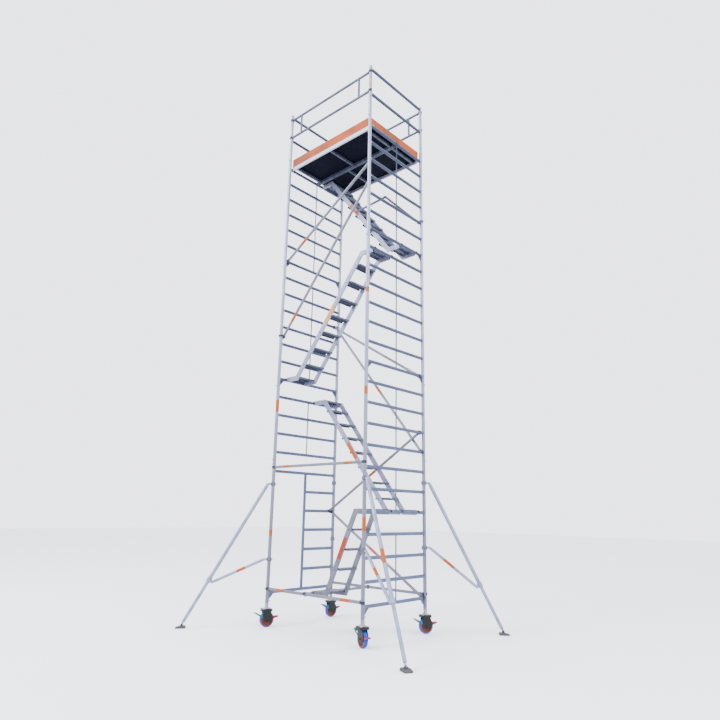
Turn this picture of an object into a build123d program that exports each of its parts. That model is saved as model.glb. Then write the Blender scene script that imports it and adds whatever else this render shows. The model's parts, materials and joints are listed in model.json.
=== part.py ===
"""Mobile tower scaffold: aluminium ladder frames on castors, with stair flights, braces,
stabilisers and a guarded platform.

X runs along the tower's long side, Y across its end frames and Z up from the floor.
Units are millimetres.
"""

import os
from math import atan2, cos, degrees, radians, sin, tan

from build123d import *

os.makedirs("parts", exist_ok=True)

# Overall sizes
bay_length = 1800  # between upright centres, along X
frame_width = 1270  # between upright centres, along Y
rung_pitch = 280
bottom_rung_height = 450

# Modules of each end frame, as the numbers of their lowest and highest rungs
base_module = (0, 6)
short_module = (7, 10)
middle_module = (11, 17)
upper_module = (18, 24)

# Tubes
tube_diameter = 50
tube_wall = 2
rung_diameter = 45
rung_wall = 2
door_post_diameter = 42
strut_diameter = 18
strut_wall = 2.5
brace_diameter = 40
brace_wall = 2
weld_gap = 0.2

# Frame joints
spigot_length = 200
spigot_wall = 3
spigot_clearance = 0.5
pin_diameter = 8
pin_clearance = 0.3
pin_above_joint = 25
pin_head_diameter = 16
pin_head_thickness = 5
pin_short_side = 12
pin_long_side = 22

# Gusset plates under the lowest rung of a seven-rung module
gusset_leg = 82
gusset_strip = 24
gusset_thickness = 5

# Claws that hold braces and rails on the tubes
claw_thickness = 8
claw_clearance = 0.5
claw_width = 34
claw_neck = 14
claw_plug = 34
claw_lever = (34, 14, 3)
plug_clearance = 0.3

# Guard rails above the top rung
guard_post_rise = 1050
guard_end_rails = (560, 1000)
guard_side_rails = (605, 950)
guard_stub_inset = 240
guard_rail_diameter = 38

# Diagonal braces run in planes inside the uprights
near_brace_inset = 50
far_brace_inset = 100
claw_above_rung = 48
upper_brace_above_rung = 55
clamped_brace_above_rung = 127
clamp_overhang = 45
clamp_height = 28
clamp_wall = 10
clamp_bolt_radius = 6
clamp_bolt_length = 34

# Stair flights
flight_inner = 120
flight_outer = 490
stringer_depth = 70
stringer_width = 22
stringer_wall = 2.5
landing_length = 255
full_treads = 7
full_tread_spacing = 224
full_top_drop = 143  # from the upper landing's line to the highest tread
first_treads = 3
first_tread_spacing = 256
first_top_drop = 219
tread_depth = 150
tread_height = 28
tread_wall = 3
tread_gap = 1
hook_thickness = 8
hook_width = 16
hook_tongue = 70
hook_tongue_margin = 1.5
cross_tube_x = -130
first_flight_foot_x = 120
top_flight_drop = 17  # the top landing hangs just under the platform's boards

# Platform
beam_height = 60
beam_width = 22
beam_wall = 3
beam_above_rung = 5
beam_end_gap = 52
platform_edge_gap = 35
platform_middle_gap = 4
cross_bar_height = 40
cross_bar_width = 30
board_thickness = 12
board_gap = 1
end_bar_inset = 60
toe_board_height = 150
toe_board_thickness = 25
toe_board_end_gap = 5

# Hatch in the back platform
hatch_length = 600
hatch_width = 480
hatch_end_inset = 40
hatch_gap = 3
hinge_pin_radius = 3
hinge_running_clearance = 0.08
hinge_knuckle_radius = 6.5
hinge_knuckle_length = 50
hinge_lug_length = 10
hinge_side_gap = 0.5
hinge_offset = 9
hinge_lift = 1
hinge_leaf = (50, 40, 3)

# Inner handrail, with its places above one of the rungs
handrail_diameter = 34
handrail_rung = 20
handrail_x = 850
handrail_overhang = 14
handrail_corner_y = -200
handrail_end_x = 246
handrail_low = 36
handrail_high = 129
handrail_end = 90

# Castors
wheel_radius = 100
tyre_width = 50
tyre_inner_radius = 87
tyre_round = 8
tyre_fit = 0.1
core_width = 46
core_web = 14
core_hub_radius = 24
core_rim = 12
castor_trail = 8
axle_radius = 8
running_clearance = 0.06
fork_side_gap = 9
fork_plate = 4
fork_shield_radius = 70
fork_shield_at = (16, 130)
fork_boss_radius = 27
fork_top_gap = 6
fork_top_length = 110
head_size = (150, 132)
head_round = 30
head_thickness = 32
head_chamfer = 6
head_gap = 1
king_pin_radius = 10
dome_radius = 47
dome_height = 20
pedal_arm_thickness = 2.5
pedal_arm_gap = 1
pedal_hub_radius = 17
pedal_tip_radius = 9
pedal_pad = (50, 12)
axle_nut_radius = 14
axle_nut = 9
brake_pedal_at = (150, 131)
release_pedal_at = (-150, 182)

# Stabilisers
pivot_reach = 75
outer_leg_diameter = 50
outer_leg_wall = 2
inner_leg_diameter = 45
inner_leg_wall = 2.5
inner_leg_overlap = 380
sleeve_share = 0.7
sleeve_length = 64
sleeve_wall = 7
sleeve_fit = 0.2
sleeve_bracket = 55
bracket_size = (18, 28)
coupler_height = 50
coupler_wall = 10
coupler_clearance = 0.5
coupler_bolt_radius = 6
coupler_bolt_length = 26
tube_start = 36
foot_pivot_height = 46
foot_pin_radius = 6
foot_tongue = 12
foot_tongue_radius = 13
foot_tube_gap = 38
foot_lug = 6
foot_lug_gap = 0.6
foot_lug_radius = 14
foot_base = (135, 95, 18)

# Corner name: side of X, side of Y, castor heading, then the stabiliser's heading, the reach
# of its foot, and the heights of its upper and lower couplers above the lowest rung
corners = {
    "front_left": (-1, -1, 70, -128, 1130, 1490, 440),
    "front_right": (1, -1, -20, -25, 1130, 1530, 650),
    "back_right": (1, 1, 66, 42, 1045, 1530, 650),
    "back_left": (-1, 1, 85, 135, 1130, 1565, 700),
}

# Values that follow
half_length = bay_length / 2
half_width = frame_width / 2
tube_radius = tube_diameter / 2
rung_radius = rung_diameter / 2
spigot_diameter = tube_diameter - 2 * tube_wall - 2 * spigot_clearance
top_rung = upper_module[1]


def level(rung):
    """Height of a rung's axis."""
    return bottom_rung_height + rung * rung_pitch


def module_ends(module):
    """Lowest and highest points of a module's uprights."""
    return level(module[0]) - rung_pitch / 2, level(module[1]) + rung_pitch / 2


joint_heights = [module_ends(m)[0] for m in (short_module, middle_module, upper_module)]
joint_heights.append(module_ends(upper_module)[1])
platform_top = level(top_rung) + beam_above_rung + beam_height / 2
leg_bottom = module_ends(base_module)[0]

nodes = {}


def keep(name, pieces):
    """Keep a sub-part's pieces, as separate solids, under the sub-part's name."""
    nodes[name] = Compound([solid for piece in pieces for solid in piece.solids()])
    nodes[name].label = name


def tube(start, end, diameter, wall):
    """A straight tube between two points."""
    run = Vector(*end) - Vector(*start)
    with BuildPart() as piece:
        with BuildSketch(Plane(origin=start, z_dir=run)):
            Circle(diameter / 2)
            Circle(diameter / 2 - wall, mode=Mode.SUBTRACT)
        extrude(amount=run.length)
    return piece.part


def welded_tube(start, end, diameter, wall, across, start_diameter, end_diameter):
    """A tube from one crossing tube's axis to another's, its ends cut to fit round them."""
    run = Vector(*end) - Vector(*start)
    with BuildPart() as piece:
        with BuildSketch(Plane(origin=start, z_dir=run)):
            Circle(diameter / 2)
            Circle(diameter / 2 - wall, mode=Mode.SUBTRACT)
        extrude(amount=run.length)
        with BuildSketch(Plane(origin=start, z_dir=across)) as start_cut:
            Circle(start_diameter / 2 + weld_gap)
        extrude(start_cut.sketch, amount=diameter, both=True, mode=Mode.SUBTRACT)
        with BuildSketch(Plane(origin=end, z_dir=across)) as end_cut:
            Circle(end_diameter / 2 + weld_gap)
        extrude(end_cut.sketch, amount=diameter, both=True, mode=Mode.SUBTRACT)
    return piece.part


# ---------------------------------------------------------------- end frames


def pinned_tube(x, y, bottom, top, diameter, wall, pin_height):
    """A vertical tube with the cross hole of a locking pin."""
    with BuildPart() as piece:
        with BuildSketch(Plane.XY.offset(bottom)):
            with Locations((x, y)):
                Circle(diameter / 2)
                Circle(diameter / 2 - wall, mode=Mode.SUBTRACT)
        extrude(amount=top - bottom)
        with Locations((x, y, pin_height)):
            Cylinder(
                pin_diameter / 2 + pin_clearance,
                2 * diameter,
                rotation=(90, 0, 0),
                mode=Mode.SUBTRACT,
            )
    return piece.part


def uprights(x, bottom, top):
    """The two uprights of an end frame."""
    pin_height = bottom + pin_above_joint
    return [
        pinned_tube(x, y, bottom, top, tube_diameter, tube_wall, pin_height)
        for y in (-half_width, half_width)
    ]


def rung(x, height, start_y=-half_width, start_diameter=tube_diameter):
    """A rung that ends at the back upright."""
    return welded_tube(
        (x, start_y, height),
        (x, half_width, height),
        rung_diameter,
        rung_wall,
        (0, 0, 1),
        start_diameter,
        tube_diameter,
    )


def strut(x, lower_rung, diameter=strut_diameter, wall=strut_wall, upper_rung=None):
    """An upright tube at the middle of a frame, from one rung to a higher one."""
    upper = lower_rung + 1 if upper_rung is None else upper_rung
    return welded_tube(
        (x, 0, level(lower_rung)),
        (x, 0, level(upper)),
        diameter,
        wall,
        (0, 1, 0),
        rung_diameter,
        rung_diameter,
    )


def gusset(x, side, height):
    """An open triangular plate in the corner under a rung, beside one upright."""
    corner_y = side * (half_width - tube_radius - weld_gap)
    corner_z = height - rung_radius - weld_gap
    hole = gusset_leg - (2 + 2**0.5) * gusset_strip
    with BuildPart() as piece:
        with BuildSketch(Plane.YZ.offset(x)):
            with BuildLine():
                Polyline(
                    (corner_y, corner_z),
                    (corner_y - side * gusset_leg, corner_z),
                    (corner_y, corner_z - gusset_leg),
                    close=True,
                )
            make_face()
            if hole > 0:
                hole_y = corner_y - side * gusset_strip
                hole_z = corner_z - gusset_strip
                with BuildLine():
                    Polyline(
                        (hole_y, hole_z),
                        (hole_y - side * hole, hole_z),
                        (hole_y, hole_z - hole),
                        close=True,
                    )
                make_face(mode=Mode.SUBTRACT)
        extrude(amount=gusset_thickness / 2, both=True)
    return piece.part


def gussets(x, module):
    """Both gussets of a seven-rung module."""
    return [gusset(x, side, level(module[0])) for side in (-1, 1)]


def ladder_frame(x, module, strut_rungs):
    """Uprights, full-width rungs and the middle struts above the rungs named."""
    pieces = uprights(x, *module_ends(module))
    pieces += [rung(x, level(n)) for n in range(module[0], module[1] + 1)]
    pieces += [strut(x, n) for n in strut_rungs]
    return pieces


def door_frame(x):
    """The base frame with a doorway in its front half."""
    first, last = base_module
    pieces = uprights(x, *module_ends(base_module))
    pieces += [rung(x, level(first)), rung(x, level(last))]
    pieces.append(strut(x, first, door_post_diameter, tube_wall, last))
    for n in range(first + 1, last):
        pieces.append(rung(x, level(n), 0, door_post_diameter))
    return pieces + gussets(x, base_module)


def guard_end_frame(x):
    """Posts and two rails across the end of the platform."""
    bottom = joint_heights[-1]
    top = level(top_rung) + guard_post_rise
    return uprights(x, bottom, top) + [
        rung(x, level(top_rung) + rise) for rise in guard_end_rails
    ]


def spigot(x, y, joint):
    """The tube that joins two modules' uprights."""
    half = spigot_length / 2
    pin_height = joint + pin_above_joint
    return pinned_tube(
        x, y, joint - half, joint + half, spigot_diameter, spigot_wall, pin_height
    )


def locking_pin(x, y, height, side):
    """A pin across an upright, its long end and head on one side of Y."""
    plane = Plane(origin=(x, y, height), z_dir=(0, side, 0))
    far_end = tube_radius + pin_long_side
    with BuildPart() as piece:
        with BuildSketch(plane.offset(-tube_radius - pin_short_side)):
            Circle(pin_diameter / 2)
        extrude(amount=2 * tube_radius + pin_short_side + pin_long_side)
        with BuildSketch(plane.offset(far_end - pin_head_thickness)):
            Circle(pin_head_diameter / 2)
        extrude(amount=pin_head_thickness)
    return piece.part


left, right = -half_length, half_length
base_first, base_last = base_module
keep("door_end_frame", door_frame(left))
missing_strut = base_first + 3
base_struts = [n for n in range(base_first, base_last) if n != missing_strut]
keep(
    "ladder_end_frame",
    ladder_frame(right, base_module, base_struts) + gussets(right, base_module),
)
for name, module in (
    ("short_end_frames", short_module),
    ("middle_end_frames", middle_module),
    ("upper_end_frames", upper_module),
):
    pair = []
    for end_x in (left, right):
        pair += ladder_frame(end_x, module, range(module[0], module[1]))
        if module != short_module:
            pair += gussets(end_x, module)
    keep(name, pair)
keep("guard_end_frames", guard_end_frame(left) + guard_end_frame(right))

corner_points = [(sx * half_length, sy * half_width) for sx, sy, *_ in corners.values()]
keep("frame_spigots", [spigot(x, y, z) for x, y in corner_points for z in joint_heights])
pins = []
for x, y in corner_points:
    outward = 1 if y > 0 else -1
    pins.append(locking_pin(x, y, leg_bottom + pin_above_joint, -outward))
    pins += [locking_pin(x, y, z + pin_above_joint, outward) for z in joint_heights]
keep("locking_pins", pins)


# ---------------------------------------------------------------- braces and rails


def claw(at, toward, around, grip_diameter, brace_outer, wall=brace_wall):
    """A hook round a tube at one end of a brace that runs away along one direction."""
    plane = Plane(origin=at, x_dir=toward, z_dir=around)
    bore = grip_diameter / 2 + claw_clearance
    rim = bore + claw_thickness
    neck_plane = Plane(origin=at, z_dir=toward)
    with BuildPart() as piece:
        with BuildSketch(plane.offset(-claw_width / 2)):
            Circle(rim)
            Circle(bore, mode=Mode.SUBTRACT)
            with Locations((-rim / 2, -rim)):
                Rectangle(rim, 2 * rim - claw_thickness, mode=Mode.SUBTRACT)
        extrude(amount=claw_width)
        with BuildSketch(neck_plane.offset(bore + claw_thickness / 4)):
            Circle(brace_outer / 2)
        extrude(amount=claw_neck - claw_thickness / 4)
        with BuildSketch(neck_plane.offset(bore + claw_neck)):
            Circle(brace_outer / 2 - wall - plug_clearance)
        extrude(amount=claw_plug)
        length, width, thickness = claw_lever
        lever_post = claw_neck - claw_thickness / 2
        post_plane = plane.offset(brace_outer / 2 - thickness)
        with BuildSketch(post_plane):
            with Locations((bore + claw_neck / 2, 0)):
                Rectangle(lever_post, width)
        extrude(amount=2 * thickness)
        with BuildSketch(post_plane.offset(2 * thickness)):
            with Locations((bore + length / 2, 0)):
                Rectangle(length, width)
        extrude(amount=thickness)
    return piece.part


def clawed_tube(start, end, around, grips, diameter=brace_diameter, wall=brace_wall):
    """A tube between two gripped tubes, and the claws on its ends."""
    run = (Vector(*end) - Vector(*start)).normalized()
    setbacks = [grip / 2 + claw_clearance + claw_neck for grip in grips]
    first = Vector(*start) + run * setbacks[0]
    last = Vector(*end) - run * setbacks[1]
    body = tube(tuple(first), tuple(last), diameter, wall)
    other_way = tuple(-part for part in around)
    claws = [
        claw(start, run, other_way, grips[0], diameter, wall),
        claw(end, -run, around, grips[1], diameter, wall),
    ]
    return body, claws


def long_brace(y, height):
    """A horizontal brace along one long side, held on the uprights."""
    ends = ((left, y, height), (right, y, height))
    around = (0, 0, 1 if y < 0 else -1)
    return clawed_tube(*ends, around, (tube_diameter, tube_diameter))


def diagonal_brace(y, left_rung, right_rung):
    """A brace from a rung of the left frame to a rung of the right frame."""
    ends = ((left, y, level(left_rung)), (right, y, level(right_rung)))
    return clawed_tube(*ends, (0, 1, 0), (rung_diameter, rung_diameter))


def double_clamp(post, spot, run, held_diameter):
    """Two clamps back to back: a ring round an upright and one round a tube beside it."""
    held_bore = held_diameter / 2 + plug_clearance
    post_bore = tube_radius + plug_clearance
    post_plane = Plane(origin=(*post, spot.Z))
    held_plane = Plane(origin=tuple(spot), z_dir=run)
    across = spot - Vector(*post, spot.Z)
    bridge_plane = Plane(origin=tuple(spot - across / 2), z_dir=across)
    bolt_plane = Plane(origin=(*post, spot.Z), z_dir=-across)
    with BuildPart() as piece:
        with BuildSketch(post_plane):
            Circle(post_bore + clamp_wall)
        extrude(amount=clamp_height / 2, both=True)
        with BuildSketch(held_plane):
            Circle(held_bore + clamp_wall)
        extrude(amount=clamp_height / 2, both=True)
        with BuildSketch(bridge_plane):
            Rectangle(clamp_height, clamp_height)
        extrude(amount=across.length / 4, both=True)
        with BuildSketch(bolt_plane.offset(post_bore + clamp_wall / 2)):
            Circle(clamp_bolt_radius)
        extrude(amount=clamp_bolt_length)
        with BuildSketch(post_plane):
            Circle(post_bore)
        extrude(amount=clamp_height, both=True, mode=Mode.SUBTRACT)
        with BuildSketch(held_plane):
            Circle(held_bore)
        extrude(amount=2 * clamp_height, both=True, mode=Mode.SUBTRACT)
    return piece.part


def clamped_diagonal(y, height, right_rung):
    """A brace from a clamp on the front left upright to a rung of the right frame."""
    spot, end = Vector(left, y, height), Vector(right, y, level(right_rung))
    run = (end - spot).normalized()
    start = spot - run * clamp_overhang
    last = end - run * (rung_diameter / 2 + claw_clearance + claw_neck)
    body = tube(tuple(start), tuple(last), brace_diameter, brace_wall)
    hook = claw(tuple(end), -run, (0, 1, 0), rung_diameter, brace_diameter)
    return body, [hook, double_clamp((left, -half_width), spot, run, brace_diameter)]


low_brace_height = level(0) + claw_above_rung
front_low_brace = long_brace(-half_width, low_brace_height)
front_high_brace = long_brace(-half_width, level(base_last) + upper_brace_above_rung)
back_low_brace = long_brace(half_width, low_brace_height)
cross_tube = clawed_tube(
    (cross_tube_x, -half_width, low_brace_height),
    (cross_tube_x, half_width, low_brace_height),
    (-1, 0, 0),
    (brace_diameter, brace_diameter),
)
near_plane = half_width - near_brace_inset
far_plane = half_width - far_brace_inset
diagonals = [
    diagonal_brace(-near_plane, 18, 22),
    clamped_diagonal(-near_plane, level(13) + clamped_brace_above_rung, 21),
    diagonal_brace(far_plane, 4, 8),
    diagonal_brace(near_plane, 4, 0),
    diagonal_brace(near_plane, 15, 7),
    diagonal_brace(far_plane, 15, 11),
]


def side_guard_rail(side):
    """Two rails and two short posts that hang between the corner posts."""
    y = side * half_width
    heights = [level(top_rung) + rise for rise in guard_side_rails]
    pieces, claws = [], []
    for height in heights:
        rail = clawed_tube(
            (left, y, height),
            (right, y, height),
            (0, 0, -side),
            (tube_diameter, tube_diameter),
            guard_rail_diameter,
        )
        pieces.append(rail[0])
        claws += rail[1]
    for x in (left + guard_stub_inset, right - guard_stub_inset):
        pieces.append(
            welded_tube(
                (x, y, heights[0]),
                (x, y, heights[1]),
                guard_rail_diameter - 4,
                brace_wall,
                (1, 0, 0),
                guard_rail_diameter,
                guard_rail_diameter,
            )
        )
    return pieces, claws


front_guard = side_guard_rail(-1)
back_guard = side_guard_rail(1)
level_braces = (front_low_brace, front_high_brace, back_low_brace, cross_tube)
keep("horizontal_braces", [brace[0] for brace in level_braces])
keep("diagonal_braces", [brace[0] for brace in diagonals])
keep("side_guard_rails", front_guard[0] + back_guard[0])


# ---------------------------------------------------------------- stair flights


def mitred_sides(points, depth):
    """Points above and below a bent centre line, in X and Z, where its bars meet."""
    slopes = [
        atan2(b[1] - a[1], b[0] - a[0]) for a, b in zip(points[:-1], points[1:])
    ]
    before = [slopes[0]] + slopes
    after = slopes + [slopes[-1]]
    sides = []
    for (x, z), one, two in zip(points, before, after):
        middle = (one + two) / 2
        reach = depth / 2 / cos((two - one) / 2)
        dx, dz = -sin(middle) * reach, cos(middle) * reach
        sides.append(((x + dx, z + dz), (x - dx, z - dz)))
    return sides


def stringer(points, y):
    """The three hollow bars of one stringer, cut to meet at its bends."""
    outer = mitred_sides(points, stringer_depth)
    inner = mitred_sides(points, stringer_depth - 2 * stringer_wall)
    plane = Plane.XZ.offset(-y)
    bars = []
    for n in range(len(points) - 1):
        with BuildPart() as bar:
            for sides, width, mode in (
                (outer, stringer_width, Mode.ADD),
                (inner, stringer_width - 2 * stringer_wall, Mode.SUBTRACT),
            ):
                with BuildSketch(plane) as outline:
                    with BuildLine():
                        Polyline(*sides[n], *reversed(sides[n + 1]), close=True)
                    make_face()
                extrude(outline.sketch, amount=width / 2, both=True, mode=mode)
        bars.append(bar.part)
    return bars


def tread(x, y, top, depth):
    """A tread plate with a lip front and back and a rib under its middle."""
    span = flight_outer - flight_inner - stringer_width - 2 * tread_gap
    pocket = (depth - 3 * tread_wall) / 2
    with BuildPart() as piece:
        with Locations((x, y, top - tread_height / 2)):
            Box(depth, span, tread_height)
        with Locations((x, y, top - tread_wall - tread_height / 2)):
            with GridLocations(pocket + tread_wall, 1, 2, 1):
                Box(pocket, span, tread_height, mode=Mode.SUBTRACT)
    return piece.part


def rung_hook(at, side, tongue_height, tongue_rise, grip_diameter=rung_diameter):
    """A hook over a rung, with a tongue that enters a hollow bar on the given side of X."""
    bore = grip_diameter / 2 + claw_clearance
    rim = bore + hook_thickness
    start = bore + hook_thickness / 4
    plane = Plane(origin=at, x_dir=(side, 0, 0), z_dir=(0, -side, 0))
    with BuildPart() as piece:
        with BuildSketch(plane):
            Circle(rim)
            Circle(bore, mode=Mode.SUBTRACT)
            with Locations((-rim / 4, -rim)):
                Rectangle(2.5 * rim, 2 * rim - hook_thickness, mode=Mode.SUBTRACT)
            with Locations((start + hook_tongue / 2, tongue_rise)):
                Rectangle(hook_tongue, tongue_height)
        extrude(amount=hook_width / 2, both=True)
    return piece.part


def flight(points, side, treads, tread_size, left_drop=0):
    """Stringers, treads, landings and hooks of a flight in one half of the tower.

    The points are the ends and bends of its centre line in X and Z, from left to right.
    The left end can hang lower than the rung that its hooks go over.
    """
    stringers, hooks = [], []
    start_grip, end_grip = treads["grips"]
    reach = [grip / 2 + claw_clearance + hook_thickness for grip in (start_grip, end_grip)]
    line = list(points)
    line[0] = (points[0][0] + reach[0], points[0][1])
    line[-1] = (points[-1][0] - reach[1], points[-1][1])
    tongue = stringer_depth - 2 * stringer_wall - 2 * hook_tongue_margin
    for y in (side * flight_inner, side * flight_outer):
        stringers += stringer(line, y)
        start = (points[0][0], y, points[0][1] + left_drop)
        end = (points[-1][0], y, points[-1][1])
        hooks.append(rung_hook(start, 1, tongue, -left_drop, start_grip))
        hooks.append(rung_hook(end, -1, tongue, 0, end_grip))
    middle = side * (flight_inner + flight_outer) / 2
    (x1, z1), (x2, z2) = points[1:3]
    rise = z2 - z1
    boards = []
    for n in range(treads["count"]):
        height = max(z1, z2) - treads["drop"] - n * treads["spacing"]
        share = (height - z1) / rise
        boards.append(tread(x1 + (x2 - x1) * share, middle, height, tread_size))
    for (xa, za), (xb, _) in ((line[0], line[1]), (line[2], line[3])):
        length = xb - xa - 2 * tread_gap
        boards.append(tread((xa + xb) / 2, middle, za + stringer_depth / 2, length))
    return stringers, boards, hooks


def stair_line(left_rung, right_rung, left_drop=0):
    """Ends and bends of a flight between a rung of each end frame."""
    z_left, z_right = level(left_rung) - left_drop, level(right_rung)
    bend = half_length - landing_length
    return [(left, z_left), (-bend, z_left), (bend, z_right), (right, z_right)]


full_stair = {
    "count": full_treads,
    "spacing": full_tread_spacing,
    "drop": full_top_drop,
    "grips": (rung_diameter, rung_diameter),
}
first_stair = {
    "count": first_treads,
    "spacing": first_tread_spacing,
    "drop": first_top_drop,
    "grips": (brace_diameter, rung_diameter),
}
first_line = [
    (cross_tube_x, low_brace_height),
    (first_flight_foot_x, low_brace_height),
    (half_length - landing_length - 25, level(4)),
    (right, level(4)),
]
flights = [
    flight(first_line, -1, first_stair, 120),
    flight(stair_line(10, 4), 1, full_stair, tread_depth),
    flight(stair_line(11, 17), -1, full_stair, tread_depth),
    flight(
        stair_line(24, 18, top_flight_drop), 1, full_stair, tread_depth, top_flight_drop
    ),
]
for number, one_flight in enumerate(flights, 1):
    keep(f"flight_{number}_stringers", one_flight[0])
keep("stair_treads", [board for one_flight in flights for board in one_flight[1]])
keep("stair_hooks", [hook for one_flight in flights for hook in one_flight[2]])


# ---------------------------------------------------------------- platform

beam_middle = level(top_rung) + beam_above_rung
platform_outer = half_width - platform_edge_gap
beam_rows = (platform_outer - beam_width / 2, platform_middle_gap + beam_width / 2)
beam_half = half_length - beam_end_gap
board_y = (platform_middle_gap + beam_width, platform_outer - beam_width)
board_middle = sum(board_y) / 2
cross_bar_length = board_y[1] - board_y[0] - 2 * weld_gap
toe_end = half_length - tube_radius - toe_board_end_gap
deck_x = toe_end - toe_board_thickness - board_gap
deck_y = platform_outer - toe_board_thickness - board_gap
bar_middle = platform_top - board_thickness - weld_gap - cross_bar_height / 2
hatch_x = -beam_half + hatch_end_inset + hatch_length / 2 + cross_bar_width
hatch_hinge_y = board_middle + hatch_width / 2 - hinge_offset
hatch_hinge_z = platform_top + hinge_knuckle_radius + hinge_lift


def hollow_bar(centre, size, along, wall):
    """A rectangular tube along X or Y."""
    inner = [length - 2 * wall for length in size]
    inner[along] = size[along]
    with BuildPart() as piece:
        with Locations(centre):
            Box(*size)
            Box(*inner, mode=Mode.SUBTRACT)
    return piece.part


def platform_frame(side, bar_places):
    """Beams, cross bars and hooks of one platform."""
    pieces = []
    for row in beam_rows:
        y = side * row
        beam = (2 * beam_half, beam_width, beam_height)
        pieces.append(hollow_bar((0, y, beam_middle), beam, 0, beam_wall))
        tongue = beam_height - 2 * beam_wall - 2 * hook_tongue_margin
        for end_x, inward in ((left, 1), (right, -1)):
            at = (end_x, y, level(top_rung))
            pieces.append(rung_hook(at, inward, tongue, beam_above_rung))
    for x in bar_places:
        bar = (cross_bar_width, cross_bar_length, cross_bar_height)
        pieces.append(hollow_bar((x, side * board_middle, bar_middle), bar, 1, beam_wall))
    return pieces


def hinge_seat(x):
    """Two lugs and the pin that they hold, fixed to the back platform's board."""
    lug_place = (hinge_knuckle_length + hinge_lug_length) / 2 + hinge_side_gap
    base = hatch_hinge_z - platform_top
    with BuildPart() as piece:
        with Locations((x, hatch_hinge_y, hatch_hinge_z)):
            Cylinder(hinge_pin_radius, 2 * lug_place, rotation=(0, 90, 0))
            with GridLocations(2 * lug_place, 1, 2, 1):
                Cylinder(hinge_knuckle_radius, hinge_lug_length, rotation=(0, 90, 0))
        foot_z = platform_top + weld_gap + base / 4
        with Locations((x, hatch_hinge_y + hinge_offset, foot_z)):
            with GridLocations(2 * lug_place, 1, 2, 1):
                Box(hinge_lug_length, 2 * hinge_offset, base / 2)
    return piece.part


def board(x_ends, y_ends):
    """A rectangular board, flush with the platform's top."""
    size = (x_ends[1] - x_ends[0], y_ends[1] - y_ends[0], board_thickness)
    centre = (sum(x_ends) / 2, sum(y_ends) / 2, platform_top - board_thickness / 2)
    with BuildPart() as piece:
        with Locations(centre):
            Box(*size)
    return piece.part


def boards_round_hatch():
    """The four boards of the back platform, round the hatch's opening."""
    near_y = board_y[0] + board_gap
    hatch_left, hatch_right = hatch_x - hatch_length / 2, hatch_x + hatch_length / 2
    beside = (hatch_left + weld_gap, hatch_right - weld_gap)
    return [
        board((-deck_x, hatch_left), (near_y, deck_y)),
        board((hatch_right, deck_x), (near_y, deck_y)),
        board(beside, (near_y, board_middle - hatch_width / 2)),
        board(beside, (board_middle + hatch_width / 2, deck_y)),
    ]


def hatch_leaf(x):
    """A hinge leaf on the hatch, rolled round the pin."""
    length, width, thickness = hinge_leaf
    with BuildPart() as piece:
        with Locations((x, hatch_hinge_y - width / 2, platform_top + thickness / 2)):
            Box(hinge_knuckle_length, width, thickness)
        with Locations((x, hatch_hinge_y, hatch_hinge_z)):
            Cylinder(hinge_knuckle_radius, hinge_knuckle_length, rotation=(0, 90, 0))
            Cylinder(
                hinge_pin_radius + hinge_running_clearance,
                hinge_knuckle_length,
                rotation=(0, 90, 0),
                mode=Mode.SUBTRACT,
            )
    return piece.part


def hatch_panel():
    """The hatch board, cut back beside its hinges."""
    with BuildPart() as piece:
        with Locations((hatch_x, board_middle, platform_top - board_thickness / 2)):
            Box(hatch_length - 2 * hatch_gap, hatch_width - 2 * hatch_gap, board_thickness)
    return piece.part


hinge_places = [hatch_x - hatch_length / 3, hatch_x + hatch_length / 3]
end_bar = beam_half - end_bar_inset
hatch_bar = hatch_x + hatch_length / 2 + cross_bar_width / 2
front_platform = platform_frame(-1, (-end_bar, 0, end_bar))
back_platform = platform_frame(1, (hatch_bar, end_bar))
hinge_seats = [hinge_seat(x) for x in hinge_places]
keep("platform_frames", front_platform + back_platform + hinge_seats)
front_board = board((-deck_x, deck_x), (-deck_y, -board_y[0] - board_gap))
keep("platform_boards", [front_board] + boards_round_hatch())
keep("hatch", [hatch_panel()] + [hatch_leaf(x) for x in hinge_places])


def toe_board(centre, length, along):
    """A board on edge round the platform."""
    size = [toe_board_thickness, toe_board_thickness, toe_board_height]
    size[along] = length
    with BuildPart() as piece:
        with Locations(centre):
            Box(*size)
        chamfer(piece.edges().group_by(Axis.Z)[-1], 2)
    return piece.part


toe_middle = platform_top + toe_board_height / 2
toe_side = platform_outer - toe_board_thickness / 2
toe_boards = []
for side in (-1, 1):
    toe_boards.append(toe_board((0, side * toe_side, toe_middle), 2 * toe_end, 0))
    end_x = side * (toe_end - toe_board_thickness / 2)
    cross_length = 2 * platform_outer - 2 * toe_board_thickness - 2
    toe_boards.append(toe_board((end_x, 0, toe_middle), cross_length, 1))
keep("toe_boards", toe_boards)


# ---------------------------------------------------------------- castors


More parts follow.
